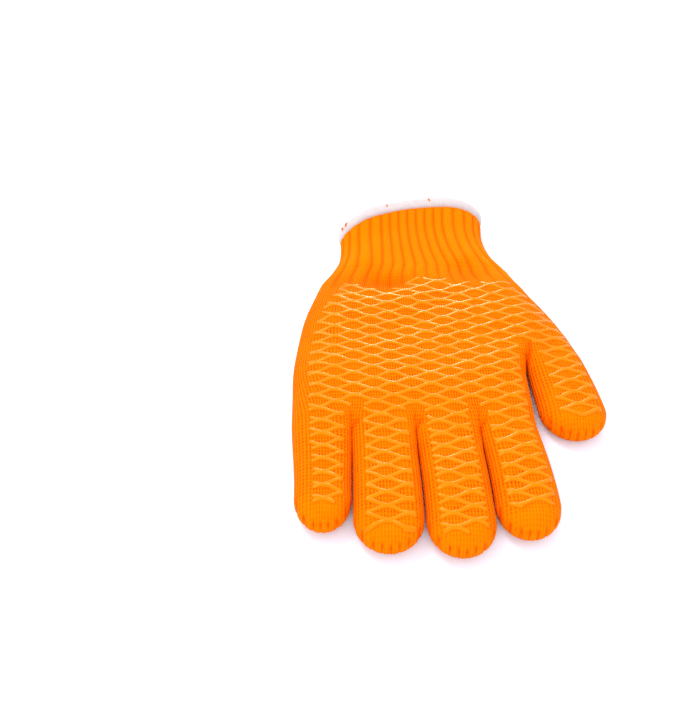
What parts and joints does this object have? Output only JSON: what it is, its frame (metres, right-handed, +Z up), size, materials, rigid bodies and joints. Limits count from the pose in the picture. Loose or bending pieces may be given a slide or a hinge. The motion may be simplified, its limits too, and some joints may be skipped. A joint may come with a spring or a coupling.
{
  "type": "knitted grip work glove",
  "caption": "Knitted work glove for handling glass, with a raised criss-cross grip on palm, fingers and thumb, a ribbed elastic cuff and an overlocked edge, lying flat.",
  "frame": {"origin": "middle of the glove's plan outline, on the surface that it lies on", "axes": "+Z up, fingers towards -Y, cuff towards +Y, thumb towards +X"},
  "size_m": [0.1414, 0.2194, 0.02],
  "materials": {
    "knit": "jersey knit of cotton and polyester yarn, matte",
    "rib_knit": "ribbed elastic knit, matte",
    "edge_yarn": "overlocked white yarn, matte",
    "grip": "soft vinyl strands, satin"
  },
  "bodies": {
    "root": {"palm": "knit", "little_finger": "knit", "ring_finger": "knit", "middle_finger": "knit", "index_finger": "knit", "thumb": "knit", "grip_palm": "grip", "grip_little_finger": "grip", "grip_ring_finger": "grip", "grip_middle_finger": "grip", "grip_index_finger": "grip", "grip_thumb": "grip", "ribbed_cuff": "rib_knit", "cuff_edge": "edge_yarn"}
  },
  "joints": []
}
